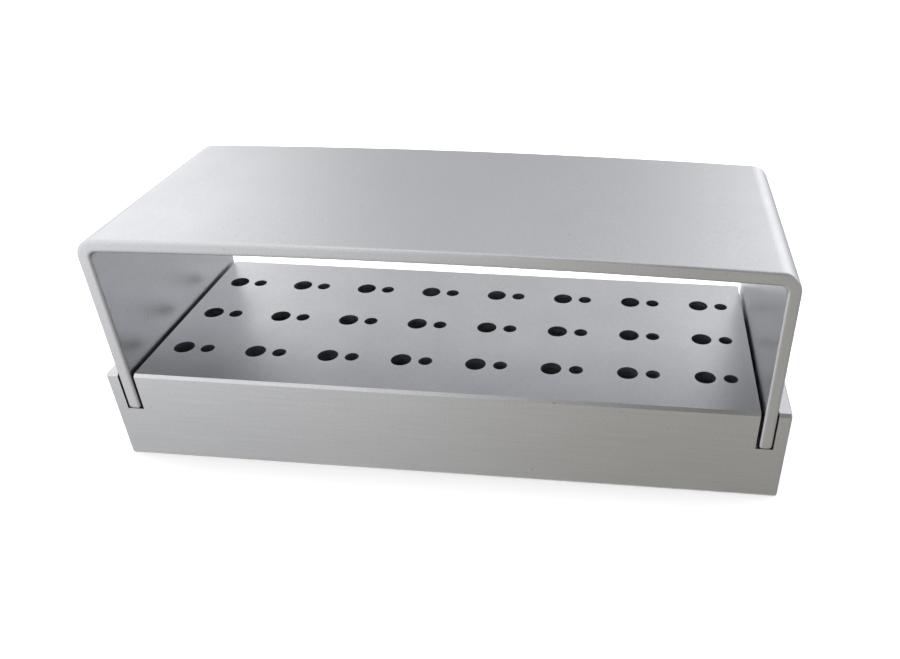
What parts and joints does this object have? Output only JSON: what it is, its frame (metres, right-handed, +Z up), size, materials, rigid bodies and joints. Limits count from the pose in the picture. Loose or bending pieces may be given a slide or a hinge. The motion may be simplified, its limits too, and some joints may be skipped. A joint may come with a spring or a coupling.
{
  "type": "dental bur block",
  "caption": "Low aluminium block with rows of paired wide and narrow bur holes, and a bent sheet cover whose two legs stand in slots at the ends.",
  "frame": {"origin": "centre of the base block's underside", "axes": "+Z up, X along the rows of bur holes, -Y the front from which the picture looks in under the cover"},
  "size_m": [0.08, 0.03, 0.03],
  "materials": {
    "base_aluminium": "satin, clear anodised, fine horizontal machining lines on the sides",
    "cover_aluminium": "satin, clear anodised sheet with a fine matt grain"
  },
  "bodies": {
    "base": {"base_block": "base_aluminium"},
    "cover": {"cover": "cover_aluminium"}
  },
  "joints": [
    {"name": "cover_lift", "type": "slide", "parent": "base", "child": "cover", "axis": [0, 0, 1], "range_m": [0, 0.035]}
  ]
}
